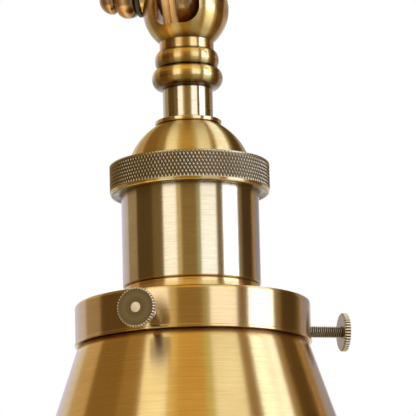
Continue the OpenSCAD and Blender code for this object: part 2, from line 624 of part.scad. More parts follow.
// Half of the bulb's outline, drawn in by w: half a cosine wave down to the ball, then the ball
function bulb_outline(w, rows = 12) = let (neck = screw_shell_r, r = bulb_d / 2, join = 50) concat(
    [for (i = [0:rows]) let (u = i / rows) [neck - w + (r * sin(join) - neck) * (1 - cos(180 * u)) / 2,
        bulb_mouth + 0.02 + u * (bulb_drop - r * cos(join))]],
    [for (i = [1:2 * rows]) let (a = join + (180 - join) * i / (2 * rows))
        [max(0, (r - w) * sin(a)), bulb_mid - (r - w) * cos(a)]]);
module bulb_glass() color(GLASS) at_head() {
    inner = bulb_outline(0.8);
    turned_down(concat(bulb_outline(0), [for (i = [len(inner) - 1:-1:0]) inner[i]]));
}
module bulb_filament() color([1, 0.8, 0.4]) at_head() {
    half = bulb_d * 0.27;
    reach = bulb_d * 0.12;
    stem_r = bulb_d * 0.05;
    down_z(bulb_mouth + 0.02, bulb_mouth + 1, screw_shell_r - 0.9);
    down_z(bulb_mouth + 0.02, bulb_mid - half + 2, stem_r);
    down_z(bulb_mid - half + 1, bulb_mid + half - 0.4, stem_r / 4);
    for (i = [0:3]) rotate([0, 0, 90 * i]) {
        translate([reach, 0, -bulb_mid - half]) cylinder(h = 2 * half, r = stem_r / 3);
        for (end = [-1, 1]) translate([0, 0, -bulb_mid + end * (half - 1)]) along_x(0, reach, stem_r / 5);
    }
}
module head_cable() color(BLACK) at_head()
    swept(concat(cable_arc, cable_stem, [[0, 0, -cap_top - 8]]), cable_r, [1, 0, 0]);
module head_wires() color(BLACK) at_head() for (side = [-1, 1])
    swept([[0, side * 1.15, -cap_top - 8.05], [0, side * 1.15, -cap_top - 9.2],
        [0, side * 2.2, -cap_top - 11.6], [0, side * 5, -cap_mid + 0.5],
        [0, side * 5.2, -insulator_top + 3.2], [0, side * 5.2, -insulator_top + 0.1]],
        wire_d / 2, [1, 0, 0]);
module shade_screw_1() thumb_screw(thumb_angles[0]);
module shade_screw_2() thumb_screw(thumb_angles[1]);
module shade_screw_3() thumb_screw(thumb_angles[2]);

mounting_plate();
canopy();
canopy_studs();
cap_nuts();
ground_screw();
hub_nipple();
hub_lock_nut();
hub_tube();
wall_tongue();
supply_cable();
wire_connectors();
inner_yoke();
wall_pivot_stud();
wall_friction_washers();
inner_arm_nipples();
inner_arm_tube();
elbow_tongue();
inner_arm_cable();
wall_knob();
wall_knob_washer();
elbow_yoke();
elbow_pivot_stud();
elbow_friction_washers();
outer_arm_nipples();
outer_arm_tube();
arm_end_ball();
arm_end_finial();
post_tube();
head_tongue();
outer_arm_cable();
elbow_knob();
elbow_knob_washer();
head_yoke();
head_pivot_stud();
head_friction_washers();
stem_nipple();
stem_tube();
stem_collar();
cap_lock_nut();
socket_cap();
knurled_ring();
socket_shell();
socket_insulator();
screw_shell();
center_contact();
terminal_screws();
shade_fitter();
shade();
bulb_cap();
bulb_glass();
bulb_filament();
head_cable();
head_wires();
head_knob();
head_knob_washer();
shade_screw_1();
shade_screw_2();
shade_screw_3();
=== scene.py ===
"""Swing arm wall lamp in antiqued brass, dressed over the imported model.

Turned pieces are profiles in millimetres, as radius and distance along the piece's own axis, carried
round that axis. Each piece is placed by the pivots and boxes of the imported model.
"""

import json
import math

import bpy
import numpy as np
from mathutils import Matrix, Vector

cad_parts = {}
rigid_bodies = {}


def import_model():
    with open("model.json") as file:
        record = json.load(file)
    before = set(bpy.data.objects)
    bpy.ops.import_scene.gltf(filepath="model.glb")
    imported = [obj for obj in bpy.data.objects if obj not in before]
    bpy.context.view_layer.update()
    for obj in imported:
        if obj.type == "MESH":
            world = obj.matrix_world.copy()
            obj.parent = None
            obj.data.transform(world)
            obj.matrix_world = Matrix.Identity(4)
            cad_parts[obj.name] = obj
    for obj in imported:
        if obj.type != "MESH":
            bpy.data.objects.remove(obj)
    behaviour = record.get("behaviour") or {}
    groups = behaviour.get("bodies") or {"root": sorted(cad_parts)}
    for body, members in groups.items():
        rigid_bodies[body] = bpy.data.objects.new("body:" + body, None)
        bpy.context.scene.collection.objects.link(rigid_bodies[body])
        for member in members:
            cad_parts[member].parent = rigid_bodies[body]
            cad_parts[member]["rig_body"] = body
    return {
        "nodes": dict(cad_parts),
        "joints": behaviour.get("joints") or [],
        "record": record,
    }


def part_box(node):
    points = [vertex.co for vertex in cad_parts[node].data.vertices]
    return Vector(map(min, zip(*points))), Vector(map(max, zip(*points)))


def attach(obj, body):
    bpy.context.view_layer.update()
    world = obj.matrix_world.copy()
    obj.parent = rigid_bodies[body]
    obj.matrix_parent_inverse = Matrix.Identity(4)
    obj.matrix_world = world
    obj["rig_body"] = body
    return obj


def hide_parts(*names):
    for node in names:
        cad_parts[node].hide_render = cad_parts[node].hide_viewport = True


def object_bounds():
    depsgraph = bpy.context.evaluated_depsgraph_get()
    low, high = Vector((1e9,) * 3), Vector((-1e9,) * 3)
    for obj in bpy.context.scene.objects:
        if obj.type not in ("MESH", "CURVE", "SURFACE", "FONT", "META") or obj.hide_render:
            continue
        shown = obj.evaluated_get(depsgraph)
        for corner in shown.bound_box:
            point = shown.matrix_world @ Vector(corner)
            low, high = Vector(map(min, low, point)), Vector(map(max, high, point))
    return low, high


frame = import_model()
cad_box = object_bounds()

MM = 0.001
TAU = 2 * math.pi
joints = {j["name"]: j for j in frame["joints"]}
wall_pivot = Vector(joints["wall_swing"]["pos_m"])
elbow_pivot = Vector(joints["elbow_swing"]["pos_m"])
head_pivot = Vector(joints["head_tilt"]["pos_m"])


# Places: each matrix takes millimetres in a knuckle's own frame to metres in the row's frame

def knuckle_frame(pivot, columns):
    """A matrix that turns a knuckle's X, Y and Z to the given columns, in metres about the pivot."""
    turn = Matrix(columns).transposed().to_4x4()
    return Matrix.Translation(pivot) @ turn @ Matrix.Scale(MM, 4)


HEAD = knuckle_frame(head_pivot, [(1, 0, 0), (0, 1, 0), (0, 0, 1)])
WALL = knuckle_frame(wall_pivot, [(0, 0, 1), (1, 0, 0), (0, 1, 0)])
ELBOW_OUT = knuckle_frame(elbow_pivot, [(0, 0, 1), (0, -1, 0), (1, 0, 0)])
CANOPY = knuckle_frame(Vector((0, 0, 0)), [(1, 0, 0), (0, 0, -1), (0, 1, 0)])


def local_box(node, place):
    """Lowest and highest corner of a CAD node, in millimetres in the given place's frame."""
    low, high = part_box(node)
    back = place.inverted()
    points = np.array([back @ Vector((x, y, z))
                       for x in (low.x, high.x) for y in (low.y, high.y) for z in (low.z, high.z)])
    return points.min(axis=0), points.max(axis=0)


def radius_of(node, place=HEAD):
    """Half the width of a CAD node across its own axis."""
    low, high = local_box(node, place)
    return float(high[0] - low[0]) / 2


def span_of(node, place=HEAD):
    """First and last level of a CAD node, as distances down its own axis."""
    low, high = local_box(node, place)
    return -float(high[2]), -float(low[2])


# Meshes

def mesh_object(name, points, faces, uvs=None, smooth=True):
    """A mesh object at the origin; points in metres, faces as an array of quads or a list."""
    mesh = bpy.data.meshes.new(name)
    mesh.from_pydata(np.asarray(points, float).tolist(), [], [list(map(int, f)) for f in faces])
    mesh.polygons.foreach_set("use_smooth", [smooth] * len(mesh.polygons))
    if uvs is not None:
        layer = mesh.uv_layers.new(name="around")
        layer.data.foreach_set("uv", np.asarray(uvs, np.float32).ravel())
    mesh.update()
    piece = bpy.data.objects.new(name, mesh)
    bpy.context.scene.collection.objects.link(piece)
    return piece


def put(place, points):
    """Points in millimetres in a place's frame, as metres in the row's frame."""
    matrix = np.array(place)
    return points @ matrix[:3, :3].T + matrix[:3, 3]


def rounded(corners, closed=True, hold=0.12, steps=5):
    """A path through corners (radius, level, rounding): each corner becomes an arc of that rounding.

    The arc is tangent to both sides and starts at rounding times the tangent of half the turn from the
    corner. A point is held just before and after it, so that flat sides stay flat when shaded.
    """
    path = []
    count = len(corners)
    for i, (r, s, rounding) in enumerate(corners):
        here = np.array([r, s])
        if not closed and i in (0, count - 1):
            path.append(here)
            continue
        before = np.array(corners[i - 1][:2]) - here
        after = np.array(corners[(i + 1) % count][:2]) - here
        reach_in, reach_out = np.linalg.norm(before), np.linalg.norm(after)
        a, b = before / reach_in, after / reach_out
        turn = math.acos(np.clip(-a @ b, -1, 1))
        if rounding <= 0 or turn < 0.02:
            path.append(here)
            continue
        cut = min(rounding * math.tan(turn / 2), 0.45 * reach_in, 0.45 * reach_out)
        size = cut / math.tan(turn / 2)
        centre = here + (a + b) / np.linalg.norm(a + b) * size / math.cos(turn / 2)
        start, end = here + a * cut, here + b * cut
        if hold > 0 and cut + hold < 0.48 * reach_in:
            path.append(here + a * (cut + hold))
        u, v = start - centre, end - centre
        for k in range(steps + 1):
            t = k / steps
            w = (math.sin((1 - t) * turn) * u + math.sin(t * turn) * v) / math.sin(turn)
            path.append(centre + w)
        if hold > 0 and cut + hold < 0.48 * reach_out:
            path.append(here + b * (cut + hold))
    return np.array(path)


def bead(mid, length, low, high, steps=14):
    """Half an ellipse: radius low at both ends and high in the middle of the length."""
    a = np.linspace(0, math.pi, steps + 1)
    return np.stack([low + (high - low) * np.sin(a), mid - length / 2 * np.cos(a)], axis=1)


def arc(centre, size, start, end, steps=8):
    """Points on a circle about centre from one angle to the other, in degrees."""
    a = np.radians(np.linspace(start, end, steps + 1))
    return np.stack([centre[0] + size * np.cos(a), centre[1] + size * np.sin(a)], axis=1)


def grid_faces(rows, columns, wrap_rows):
    """Quads of a grid that closes round its columns, and over its rows if asked."""
    last = rows if wrap_rows else rows - 1
    i, k = np.meshgrid(np.arange(last), np.arange(columns), indexing="ij")
    down, right = (i + 1) % rows, (k + 1) % columns
    quads = [i * columns + k, down * columns + k, down * columns + right, i * columns + right]
    return np.stack(quads, axis=-1).reshape(-1, 4)


def turned(name, path, place, columns=160, closed=True, waves=None):
    """A profile carried round the axis: each point is (radius cos a, radius sin a, -level).

    A closed profile makes a ring; an open one starts and ends on the axis, where its end rows shrink to
    one point. waves(angles, path) may change the radii, as a thread or a serration does.
    """
    path = np.asarray(path, float)
    rows = len(path)
    angles = np.arange(columns) * TAU / columns
    radii = np.repeat(path[:, :1], columns, axis=1)
    if waves is not None:
        radii = waves(angles[None, :], path[:, 1:2], radii)
    heights = -np.repeat(path[:, 1:], columns, axis=1)
    points = np.stack([radii * np.cos(angles), radii * np.sin(angles), heights], axis=-1)
    quads = grid_faces(rows, columns, closed)
    steps = np.linalg.norm(np.diff(path, axis=0, append=path[:1]), axis=1)
    along = np.concatenate([[0], np.cumsum(steps)]) * MM
    i = quads[:, 0] // columns
    k = quads[:, 0] % columns
    u0, u1 = k / columns, (k + 1) / columns
    uvs = np.stack([np.stack([u0, along[i]], -1), np.stack([u0, along[i + 1]], -1),
                    np.stack([u1, along[i + 1]], -1), np.stack([u1, along[i]], -1)], axis=1)
    flat = points.reshape(-1, 3)
    if closed:
        faces, corner_uvs = quads, uvs.reshape(-1, 2)
    else:
        flat, faces, corner_uvs = close_poles(flat, quads, uvs, rows, columns)
    outward = profile_turns_outward(path, closed)
    piece = mesh_object(name, put(place, flat), faces, corner_uvs)
    if not outward:
        piece.data.flip_normals()
    return piece


def close_poles(flat, quads, uvs, rows, columns):
    """First and last row become one point each, and the quads there become triangles.

    The points between keep their order, so a point's new number is its old one less columns - 1, and
    that is held to zero in the first row and to the last row's first number in the last.
    """
    last = (rows - 2) * columns + 1
    quads = np.clip(quads - (columns - 1), 0, last)
    flat = np.concatenate([flat[:1], flat[columns:-columns], flat[-columns:1 - columns]])
    first_row, last_row = [1, 2, 3], [0, 1, 3]
    faces = (quads[:columns, first_row].tolist() + quads[columns:-columns].tolist()
             + quads[-columns:, last_row].tolist())
    corner_uvs = np.concatenate([uvs[:columns, first_row].reshape(-1, 2),
                                 uvs[columns:-columns].reshape(-1, 2),
                                 uvs[-columns:, last_row].reshape(-1, 2)])
    return flat, faces, corner_uvs


def profile_turns_outward(path, closed):
    """True if the profile runs so that the grid's faces point out: its enclosed area is positive."""
    r, s = path[:, 0], path[:, 1]
    if not closed:
        r, s = np.append(r, 0), np.append(s, s[0])
    area = np.sum(r * np.roll(s, -1) - np.roll(r, -1) * s)
    return area > 0


def swept(name, path, place, size, columns=24):
    """A round bar along a path: each ring stands square to the path, its first side kept towards +X."""
    path = np.asarray(path, float)
    along = np.gradient(path, axis=0)
    along /= np.linalg.norm(along, axis=1, keepdims=True)
    side = np.array([1.0, 0, 0]) - along * along[:, :1]
    side /= np.linalg.norm(side, axis=1, keepdims=True)
    up = np.cross(along, side)
    a = np.arange(columns) * TAU / columns
    cosine, sine = np.cos(a)[None, :, None], np.sin(a)[None, :, None]
    rings = path[:, None] + size * (cosine * side[:, None] + sine * up[:, None])
    faces = grid_faces(len(path), columns, False).tolist()
    faces += [list(range(columns)), list(range(len(path) * columns - 1, (len(path) - 1) * columns - 1, -1))]
    return mesh_object(name, put(place, rings.reshape(-1, 3)), faces)


def softened(path, rounds=3):
    """A path with its corners cut: each side is kept from a quarter to three quarters of its length."""
    path = np.asarray(path, float)
    for _ in range(rounds):
        inner = np.stack([path[:-1] * 0.75 + path[1:] * 0.25, path[:-1] * 0.25 + path[1:] * 0.75], axis=1)
        path = np.concatenate([path[:1], inner.reshape(-1, path.shape[1])[1:-1], path[-1:]])
    return path


# Materials

def new_material(name):
    """An empty node material with its shader and output."""
    material = bpy.data.materials.new(name)
    material.use_nodes = True
    nodes = material.node_tree.nodes
    nodes.clear()
    shader = nodes.new("ShaderNodeBsdfPrincipled")
    output = nodes.new("ShaderNodeOutputMaterial")
    material.node_tree.links.new(shader.outputs["BSDF"], output.inputs["Surface"])
    return material, shader


def link(material, source, target):
    material.node_tree.links.new(source, target)


def noise(material, vector, scale, detail=2.0, roughness=0.5):
    """A noise texture's value, read at the given vector."""
    node = material.node_tree.nodes.new("ShaderNodeTexNoise")
    node.inputs["Scale"].default_value = scale
    node.inputs["Detail"].default_value = detail
    node.inputs["Roughness"].default_value = roughness
    link(material, vector, node.inputs["Vector"])
    return node.outputs["Fac"]


def stretched(material, source, size):
    """A vector scaled by size on each axis."""
    node = material.node_tree.nodes.new("ShaderNodeMapping")
    node.inputs["Scale"].default_value = size
    link(material, source, node.inputs["Vector"])
    return node.outputs["Vector"]


def ranged(material, value, low, high, start=0.0, end=1.0):
    """A value taken from one range to another."""
    node = material.node_tree.nodes.new("ShaderNodeMapRange")
    for name, number in (("From Min", low), ("From Max", high), ("To Min", start), ("To Max", end)):
        node.inputs[name].default_value = number
    link(material, value, node.inputs["Value"])
    return node.outputs["Result"]


def blended(material, factor, first, second):
    """One colour turning into another with the factor."""
    node = material.node_tree.nodes.new("ShaderNodeMix")
    node.data_type = "RGBA"
    link(material, factor, node.inputs["Factor"])
    node.inputs["A"].default_value = (*first, 1)
    node.inputs["B"].default_value = (*second, 1)
    return node.outputs["Result"]


def darkened(material, colour, factor):
    """A colour multiplied by a value."""
    node = material.node_tree.nodes.new("ShaderNodeVectorMath")
    node.operation = "SCALE"
    link(material, colour, node.inputs[0])
    link(material, factor, node.inputs["Scale"])
    return node.outputs["Vector"]


def bumped(material, shader, height, strength, distance):
    """Bump on a shader from a height."""
    node = material.node_tree.nodes.new("ShaderNodeBump")
    node.inputs["Strength"].default_value = strength
    node.inputs["Distance"].default_value = distance
    link(material, height, node.inputs["Height"])
    link(material, node.outputs["Normal"], shader.inputs["Normal"])


def brushed_metal(name, light, dark, roughness, anisotropy, lines=0.03, grain=3000):
    """Metal brushed round its axis: fine lines run along u, so its reflections stretch along the axis."""
    material, shader = new_material(name)
    nodes = material.node_tree.nodes
    around = nodes.new("ShaderNodeUVMap")
    around.uv_map = "around"
    placed = nodes.new("ShaderNodeTexCoord")
    fine = noise(material, stretched(material, around.outputs["UV"], (0.7, 7500, 1)), 1.0, 4.0, 0.75)
    strokes = noise(material, stretched(material, around.outputs["UV"], (26, grain, 1)), 1.0, 3.0, 0.7)
    broad = noise(material, placed.outputs["Object"], 45.0, 3.0, 0.6)
    colour = blended(material, ranged(material, broad, 0.35, 0.7), light, dark)
    colour = darkened(material, colour, ranged(material, fine, 0.62, 0.4, 0.9, 1.0))
    colour = darkened(material, colour, ranged(material, strokes, 0.66, 0.36, 0.92, 1.03))
    link(material, colour, shader.inputs["Base Color"])
    rough = ranged(material, fine, 0.3, 0.7, roughness * 0.9, roughness * 1.12)
    link(material, rough, shader.inputs["Roughness"])
    shader.inputs["Metallic"].default_value = 1.0
    shader.inputs["Anisotropic"].default_value = anisotropy
    shader.inputs["Anisotropic Rotation"].default_value = 0.25
    tangent = nodes.new("ShaderNodeTangent")
    tangent.direction_type = "UV_MAP"
    tangent.uv_map = "around"
    link(material, tangent.outputs["Tangent"], shader.inputs["Tangent"])
    bumped(material, shader, fine, lines, 0.00004)
    return material


# Levels from the pivot, in millimetres, where the grooves are darkened, and how much of the metal's colour
# shows there: painted shade in the grooves, with some antique patina
STEM_PATINA_AND_SHADE = [(0.0, 1.0), (8.0, 1.0), (12.6, 0.7), (13.6, 0.3), (14.0, 1.0), (16.0, 1.0), (16.4, 0.15),
               (17.0, 1.0), (18.9, 1.0), (20.3, 0.55), (21.2, 0.06), (22.0, 1.0), (24.0, 1.0), (25.3, 0.5),
               (26.4, 0.12), (27.0, 0.1)]
KNOB_PATINA_AND_SHADE = [(0.0, 1.0), (11.0, 1.0), (14.0, 0.5), (14.6, 0.3), (15.3, 0.95), (18.0, 1.0), (18.7, 0.2),
               (19.4, 1.0), (25.0, 1.0)]
PATINA_AND_SHADE_REACH = 40.0  # millimetres that the ramp covers
# Colour that the grooves are darkened towards: painted shade, with some patina
GROOVE_SHADE_COLOUR = (0.035, 0.022, 0.012)


def cast_metal(name, light, dark, roughness, patina_and_shade=None, place=HEAD, axis=2, down=True):
    """Satin antique casting: cloudy colour, a little uneven, and darker in the grooves that its level list
    gives: painted shade there, with some patina.

    The level is the distance from the place's origin along one of its axes, as a share of the ramp's reach.
    Polishing marks run round that axis, so reflections stretch along it.
    """
    material, shader = new_material(name)
    nodes = material.node_tree.nodes
    placed = nodes.new("ShaderNodeTexCoord")
    broad = noise(material, placed.outputs["Object"], 150.0, 4.0, 0.55)
    fine = noise(material, placed.outputs["Object"], 1300.0, 2.0, 0.5)
    colour = blended(material, ranged(material, broad, 0.35, 0.65), dark, light)
    rough = ranged(material, broad, 0.3, 0.7, roughness * 1.2, roughness * 0.85)
    if patina_and_shade:
        away = nodes.new("ShaderNodeVectorMath")
        away.operation = "SUBTRACT"
        away.inputs[1].default_value = place.translation
        link(material, placed.outputs["Object"], away.inputs[0])
        along = nodes.new("ShaderNodeVectorMath")
        along.operation = "DOT_PRODUCT"
        sign = -1 if down else 1
        along.inputs[1].default_value = place.to_3x3().col[axis] / MM * (sign / (PATINA_AND_SHADE_REACH * MM))
        link(material, away.outputs["Vector"], along.inputs[0])
        ramp = nodes.new("ShaderNodeValToRGB")
        stops = ramp.color_ramp.elements
        while len(stops) < len(patina_and_shade):
            stops.new(0.5)
        for stop, (level, share) in zip(stops, patina_and_shade):
            stop.position = level / PATINA_AND_SHADE_REACH
            stop.color = (share, share, share, 1)
        link(material, along.outputs["Value"], ramp.inputs["Fac"])
        # Grooves darkened towards a near-black colour: painted shade, with some patina
        groove_shade_mix = nodes.new("ShaderNodeMix")
        groove_shade_mix.data_type = "RGBA"
        groove_shade_mix.inputs["A"].default_value = (*GROOVE_SHADE_COLOUR, 1)
        link(material, ramp.outputs["Color"], groove_shade_mix.inputs["Factor"])
        link(material, colour, groove_shade_mix.inputs["B"])
        colour = groove_shade_mix.outputs["Result"]
        tangent = nodes.new("ShaderNodeTangent")
        tangent.direction_type = "RADIAL"
        lean = [abs(share) for share in place.to_3x3().col[axis]]
        tangent.axis = "XYZ"[lean.index(max(lean))]
        link(material, tangent.outputs["Tangent"], shader.inputs["Tangent"])
        shader.inputs["Anisotropic"].default_value = 0.7
        shader.inputs["Anisotropic Rotation"].default_value = 0.25
        shader.inputs["Coat Weight"].default_value = 0.25
        shader.inputs["Coat Roughness"].default_value = 0.12
    link(material, colour, shader.inputs["Base Color"])
    link(material, rough, shader.inputs["Roughness"])
    shader.inputs["Metallic"].default_value = 1.0
    bumped(material, shader, fine, 0.12, 0.00003)
    return material


def scratched_metal(name, light, dark, size):
    """Dark metal with scratches in one direction: size is high across them and low along them."""
    material, shader = new_material(name)
    placed = material.node_tree.nodes.new("ShaderNodeTexCoord")
    lines = noise(material, stretched(material, placed.outputs["Object"], size), 1.0, 4.0, 0.7)
    colour = blended(material, ranged(material, lines, 0.42, 0.66), dark, light)
    link(material, colour, shader.inputs["Base Color"])
    link(material, ranged(material, lines, 0.3, 0.7, 0.42, 0.22), shader.inputs["Roughness"])
    shader.inputs["Metallic"].default_value = 1.0
    bumped(material, shader, lines, 0.35, 0.0001)
    return material


def knurled_metal(name, crest, shaded_valley, roughness):
    """Metal worn bright on its crests and painted dark in its grooves as shade, by a value stored on the
    mesh's points.
    """
    material, shader = new_material(name)
    wear_and_groove_shade = material.node_tree.nodes.new("ShaderNodeAttribute")
    wear_and_groove_shade.attribute_name = "wear_and_groove_shade"
    link(material, blended(material, ranged(material, wear_and_groove_shade.outputs["Fac"], 0.15, 0.85), shaded_valley, crest),
         shader.inputs["Base Color"])
    link(material, ranged(material, wear_and_groove_shade.outputs["Fac"], 0.0, 1.0, roughness * 1.6, roughness),
         shader.inputs["Roughness"])
    shader.inputs["Metallic"].default_value = 1.0
    return material


def plain_finish(name, light, dark, roughness, metallic=0.0, scale=300.0, bump=0.1):
    """A dielectric or dull metal whose colour and gloss vary a little."""
    material, shader = new_material(name)
    placed = material.node_tree.nodes.new("ShaderNodeTexCoord")
    broad = noise(material, placed.outputs["Object"], scale, 3.0, 0.6)
    colour = blended(material, ranged(material, broad, 0.3, 0.7), dark, light)
    link(material, colour, shader.inputs["Base Color"])
    rough = ranged(material, broad, 0.3, 0.7, roughness * 1.2, roughness * 0.85)
    link(material, rough, shader.inputs["Roughness"])
    shader.inputs["Metallic"].default_value = metallic
    bumped(material, shader, broad, bump, 0.00005)
    return material


def clear_glass():
    """Thin clear glass."""
    material, shader = new_material("bulb_glass")
    shader.inputs["Base Color"].default_value = (0.98, 0.98, 0.96, 1)
    shader.inputs["Roughness"].default_value = 0.02
    shader.inputs["Transmission Weight"].default_value = 1.0
    shader.inputs["IOR"].default_value = 1.45
    return material


GOLD = brushed_metal("brushed_gold", (0.67, 0.435, 0.165), (0.60, 0.375, 0.13), 0.235, 0.95)
ARM = brushed_metal("arm_gold", (0.66, 0.43, 0.15), (0.57, 0.35, 0.11), 0.22, 0.6, lines=0.0, grain=1200)
DOME = brushed_metal("dome_gold", (0.67, 0.45, 0.17), (0.60, 0.38, 0.13), 0.3, 1.0, lines=0.2)
OLIVE = brushed_metal("olive_gold", (0.60, 0.45, 0.215), (0.54, 0.39, 0.175), 0.22, 0.95)
BRASS_LIGHT, BRASS_DARK, BRASS_ROUGH = (0.66, 0.41, 0.115), (0.46, 0.255, 0.06), 0.24
CAST = cast_metal("cast_brass", BRASS_LIGHT, BRASS_DARK, BRASS_ROUGH)
COPPER = cast_metal("copper_cast", (0.50, 0.25, 0.12), (0.34, 0.15, 0.065), 0.26)
# Knurled finishes: the second colour, near black, is painted shade in the grooves
KNURL = knurled_metal("knurled_bronze", (0.46, 0.33, 0.165), (0.04, 0.024, 0.012), 0.24)
RING_EDGE = cast_metal("ring_edge_gold", (0.66, 0.46, 0.20), (0.54, 0.36, 0.14), 0.13)
BRONZE = plain_finish("aged_bronze", (0.30, 0.22, 0.13), (0.20, 0.14, 0.08), 0.34, metallic=1.0)
# The ring's underside, tucked against the shell: its dark colour is painted shade
RING_UNDERSIDE_SHADE = plain_finish("ring_underside_shade", (0.24, 0.18, 0.14), (0.16, 0.115, 0.085), 0.25, metallic=1.0)
STEEL = plain_finish("zinc_steel", (0.62, 0.62, 0.60), (0.54, 0.54, 0.52), 0.3, metallic=1.0, scale=90.0,
                     bump=0.03)
BLACK = plain_finish("black_washer", (0.02, 0.02, 0.02), (0.01, 0.01, 0.01), 0.35)
FIBRE = plain_finish("washer_fibre", (0.2, 0.13, 0.08), (0.12, 0.08, 0.05), 0.6)
CABLE = plain_finish("cable_sheath", (0.92, 0.58, 0.22), (0.80, 0.45, 0.13), 0.16, bump=0.03)
ENAMEL = plain_finish("white_enamel", (0.86, 0.85, 0.82), (0.82, 0.81, 0.77), 0.3)
PORCELAIN = plain_finish("porcelain", (0.85, 0.83, 0.78), (0.8, 0.78, 0.72), 0.2)
CONTACT = plain_finish("contact_brass", (0.8, 0.62, 0.3), (0.7, 0.52, 0.24), 0.25, metallic=1.0)
ORANGE = plain_finish("connector_plastic", (0.75, 0.3, 0.08), (0.65, 0.24, 0.06), 0.5)
GREEN = plain_finish("green_screw", (0.05, 0.25, 0.08), (0.04, 0.2, 0.06), 0.4)
# Screw finishes: the near-black second colour is painted shade in the thread's valleys and between the
# serrations
SCREW_BRONZE = knurled_metal("screw_bronze", (0.78, 0.60, 0.34), (0.035, 0.024, 0.012), 0.3)
SCREW_FACE = knurled_metal("screw_face", (0.19, 0.115, 0.032), (0.05, 0.03, 0.008), 0.3)
SCREW_THREAD = knurled_metal("screw_thread", (0.50, 0.41, 0.29), (0.03, 0.02, 0.012), 0.25)
SCREW_END = cast_metal("screw_end", (0.72, 0.52, 0.25), (0.52, 0.36, 0.16), 0.36)
FILAMENT = plain_finish("filament_strip", (0.9, 0.62, 0.2), (0.85, 0.55, 0.15), 0.5)
GLASS = clear_glass()

MATERIAL_OF_SLOT = {
    "antique_brass": CAST, "shade_brass": GOLD, "aged_bronze": BRONZE, "steel": STEEL,
    "friction_washer": FIBRE, "black_washer": BLACK, "cable": CABLE, "green_screw": GREEN,
    "connector": ORANGE, "ceramic": PORCELAIN, "contact_brass": CONTACT, "bulb_glass": GLASS,
    "filament": FILAMENT}
SLOT_OF_NODE = {s["node"]: s["material_slot"] for s in frame["record"]["subparts"]}


def cast_for(node, place, patina_and_shade=STEM_PATINA_AND_SHADE, axis=2, down=True, light=BRASS_LIGHT, dark=BRASS_DARK):
    """A casting's own material, darker at the levels of its grooves: painted shade, with some patina."""
    return cast_metal(node + "_cast", light, dark, BRASS_ROUGH, patina_and_shade, place, axis, down)


KNOB_LIGHT, KNOB_DARK = (0.58, 0.34, 0.16), (0.36, 0.19, 0.08)
# Tongues are coloured darker than the knuckles round them: painted shade of the slot, over real scratches
SHADED_TONGUE_LIGHT, SHADED_TONGUE_DARK, TONGUE_GRAIN = (0.44, 0.30, 0.15), (0.22, 0.13, 0.06), (160, 160, 2600)
OWN_MATERIAL = {
    "head_yoke": cast_for("head_yoke", HEAD), "inner_yoke": cast_for("inner_yoke", WALL),
    "elbow_yoke": cast_for("elbow_yoke", ELBOW_OUT),
    "head_knob": cast_for("head_knob", HEAD, KNOB_PATINA_AND_SHADE, 0, True, KNOB_LIGHT, KNOB_DARK),
    "wall_knob": cast_for("wall_knob", WALL, KNOB_PATINA_AND_SHADE, 0, True, KNOB_LIGHT, KNOB_DARK),
    "elbow_knob": cast_for("elbow_knob", ELBOW_OUT, KNOB_PATINA_AND_SHADE, 0, True, KNOB_LIGHT, KNOB_DARK),
    # Tongue colours: painted shade of the slot, with real scratches
    "head_tongue": scratched_metal("head_tongue_scratched_shaded", (0.50, 0.31, 0.15), (0.20, 0.105, 0.05),
                                   (1500, 200, 200)),
    "wall_tongue": scratched_metal("wall_tongue_scratched_shaded", SHADED_TONGUE_LIGHT, SHADED_TONGUE_DARK, TONGUE_GRAIN),
    "elbow_tongue": scratched_metal("elbow_tongue_scratched_shaded", SHADED_TONGUE_LIGHT, SHADED_TONGUE_DARK, TONGUE_GRAIN),
    "arm_end_finial": COPPER}


def finished(piece, material, node, *more):
    """Gives a piece its material, and puts it on the body of the node that it replaces."""
    if material is not None:
        piece.data.materials.append(material)
    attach(piece, frame["nodes"][node].get("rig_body"))
    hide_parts(node, *more)
    return piece


def own_points(piece, place):
    """A piece's points, in millimetres in the place's frame."""
    co = np.empty(len(piece.data.vertices) * 3, np.float32)
    piece.data.vertices.foreach_get("co", co)
    back = np.array(place.inverted())
    return co.reshape(-1, 3) @ back[:3, :3].T + back[:3, 3]


def mark_wear_and_groove_shade(piece, values):
    """Stores one number from 0 to 1 on each point, for the material to read: crest wear, and painted shade in
    the grooves.
    """
    layer = piece.data.attributes.new("wear_and_groove_shade", "FLOAT", "POINT")
    layer.data.foreach_set("value", np.clip(np.asarray(values, np.float32).ravel(), 0, 1))


# Lamp holder and shade, as distances down from the head pivot

BORE = 5.05  # radius of the hole that a nipple goes through


def make_socket_cap():
    """A dome, part of a sphere cut flat at its top, over a short skirt and flange, with an even wall."""
    top, bottom = span_of("socket_cap")
    flange = radius_of("socket_cap")
    size, rise, wall = 16.9, 14.8, 1.2
    mid = top + rise
    first = math.degrees(math.acos(rise / size))
    outer = [(size * math.sin(math.radians(a)), mid - size * math.cos(math.radians(a)))
             for a in np.linspace(first, 90, 40)]
    inside = size - wall
    inner = [(max(BORE, inside * math.sin(math.radians(a))), mid - inside * math.cos(math.radians(a)))
             for a in np.linspace(90, first + 12, 24)]
    path = np.array([(BORE, top)] + outer + [(size, bottom - 1.7), (flange, bottom - 1.6), (flange, bottom)]
                    + [(inside, bottom)] + inner + [(BORE, top + 1.5)])
    return finished(turned("socket_cap_dome", path, HEAD, 192), DOME, "socket_cap")


